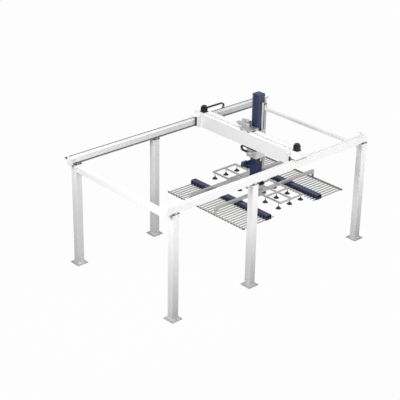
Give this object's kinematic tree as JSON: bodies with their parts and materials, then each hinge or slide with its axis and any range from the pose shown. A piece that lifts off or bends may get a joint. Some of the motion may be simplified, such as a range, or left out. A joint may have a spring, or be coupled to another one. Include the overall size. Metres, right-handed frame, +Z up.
{
  "type": "gantry robot",
  "caption": "Floor-standing gantry robot with a cross beam, lifting mast and a gripper of suction cups and sliding combs for sheet metal",
  "frame": {"origin": "centre of the floor rectangle under the whole machine, at floor level", "axes": "X runs along the runways, from the open front bay towards the back bay; Y runs along the cross beam; Z is up"},
  "size_m": [7.48, 4.35, 4.455],
  "materials": {
    "white_paint": "smooth white powder coat",
    "grey_paint": "grey paint on the floor plates",
    "navy_paint": "dark navy blue satin paint",
    "dark_steel": "blackened steel",
    "bright_steel": "ground bearing steel",
    "rack_steel": "dark milled steel",
    "zinc": "zinc plated fasteners",
    "aluminium": "silver satin aluminium",
    "black_motor": "black satin motor paint",
    "black_plastic": "matte black chain plastic",
    "black_rubber": "black rubber",
    "pale_rubber": "pale grey polyurethane"
  },
  "bodies": {
    "frame": {"columns": "white_paint", "base_plates": "grey_paint", "cap_plates": "dark_steel", "runways": "white_paint", "runway_end_caps": "white_paint", "runway_rails": "bright_steel", "runway_racks": "rack_steel", "runway_clamps": "zinc", "end_stops": "white_paint", "end_stop_pads": "pale_rubber", "tie_beams": "white_paint", "frame_bolts": "zinc", "cable_tray": "dark_steel", "tray_brackets": "zinc"},
    "bridge": {"cross_beam": "white_paint", "beam_rails": "bright_steel", "beam_rack": "bright_steel", "end_carriages": "white_paint", "runway_bearings": "zinc", "carriage_buffers": "black_rubber", "bridge_gearboxes": "white_paint", "bridge_motors": "black_motor", "bridge_chain": "black_plastic", "chain_bracket": "aluminium"},
    "pinion_left": {"bridge_pinion_left": "rack_steel", "bridge_shaft_left": "bright_steel"},
    "pinion_right": {"bridge_pinion_right": "rack_steel", "bridge_shaft_right": "bright_steel"},
    "carriage": {"saddle_plate": "aluminium", "back_plate": "white_paint", "mast_cheeks": "white_paint", "lower_cover": "aluminium", "carriage_bearings": "zinc", "axis_gearboxes": "aluminium", "axis_motors": "aluminium", "lift_stand": "aluminium", "cross_chain": "black_plastic"},
    "cross_drive": {"cross_pinion": "rack_steel", "cross_shaft": "bright_steel"},
    "lift_drive": {"lift_pinion": "rack_steel", "lift_shaft": "bright_steel"},
    "mast": {"mast_tube": "navy_paint", "mast_plates": "navy_paint", "mast_rails": "bright_steel", "mast_rack": "rack_steel", "grip_motor": "navy_paint", "gripper_arms": "aluminium", "arm_rails": "bright_steel", "guide_bars": "navy_paint", "tine_guides": "black_plastic", "suction_frame": "aluminium", "vacuum_manifold": "black_motor"},
    "comb_near": {"comb_near_frame": "aluminium", "comb_near_shoes": "zinc", "comb_near_tines": "zinc"},
    "comb_far": {"comb_far_frame": "rack_steel", "comb_far_shoes": "zinc", "comb_far_tines": "zinc"},
    "cups": {"cup_stems": "zinc", "suction_cups": "black_rubber"}
  },
  "joints": [
    {"name": "bridge_travel", "type": "slide", "parent": "frame", "child": "bridge", "axis": [1, 0, 0], "range_m": [-4.2, 1.95]},
    {"name": "carriage_travel", "type": "slide", "parent": "bridge", "child": "carriage", "axis": [0, 1, 0], "range_m": [-0.25, 0.25]},
    {"name": "mast_lift", "type": "slide", "parent": "carriage", "child": "mast", "axis": [0, 0, 1], "range_m": [-0.8, 0.15]},
    {"name": "comb_near_travel", "type": "slide", "parent": "mast", "child": "comb_near", "axis": [1, 0, 0], "range_m": [0, 0.75]},
    {"name": "comb_far_travel", "type": "slide", "parent": "mast", "child": "comb_far", "axis": [-1, 0, 0], "range_m": [0, 0.75]},
    {"name": "cup_suspension", "type": "slide", "parent": "mast", "child": "cups", "axis": [0, 0, 1], "range_m": [0, 0.03], "stiffness_N_per_m": 18000, "springref_m": -0.02},
    {"name": "bridge_pinion_left_turn", "type": "hinge", "parent": "bridge", "child": "pinion_left", "pos_m": [1.02, 1.856, 3.1], "axis": [0, 0, 1], "range_deg": [-4012.7, 1864.1]},
    {"name": "bridge_pinion_right_turn", "type": "hinge", "parent": "bridge", "child": "pinion_right", "pos_m": [1.02, -1.856, 3.1], "axis": [0, 0, 1], "range_deg": [-1864.1, 4012.7]},
    {"name": "cross_pinion_turn", "type": "hinge", "parent": "carriage", "child": "cross_drive", "pos_m": [0.988, 0.06, 3.46], "axis": [0, 0, 1], "range_deg": [-320.3, 320.3]},
    {"name": "lift_pinion_turn", "type": "hinge", "parent": "carriage", "child": "lift_drive", "pos_m": [1.178, 0.078, 3.59], "axis": [0, 1, 0], "range_deg": [-193, 1020.6]}
  ],
  "couplings": [
    {"joint": "comb_far_travel", "follows": "comb_near_travel", "ratio": 1},
    {"joint": "bridge_pinion_left_turn", "follows": "bridge_travel", "rad_per_m": 16.667},
    {"joint": "bridge_pinion_right_turn", "follows": "bridge_travel", "rad_per_m": -16.667},
    {"joint": "cross_pinion_turn", "follows": "carriage_travel", "rad_per_m": 22.222},
    {"joint": "lift_pinion_turn", "follows": "mast_lift", "rad_per_m": -22.222}
  ]
}
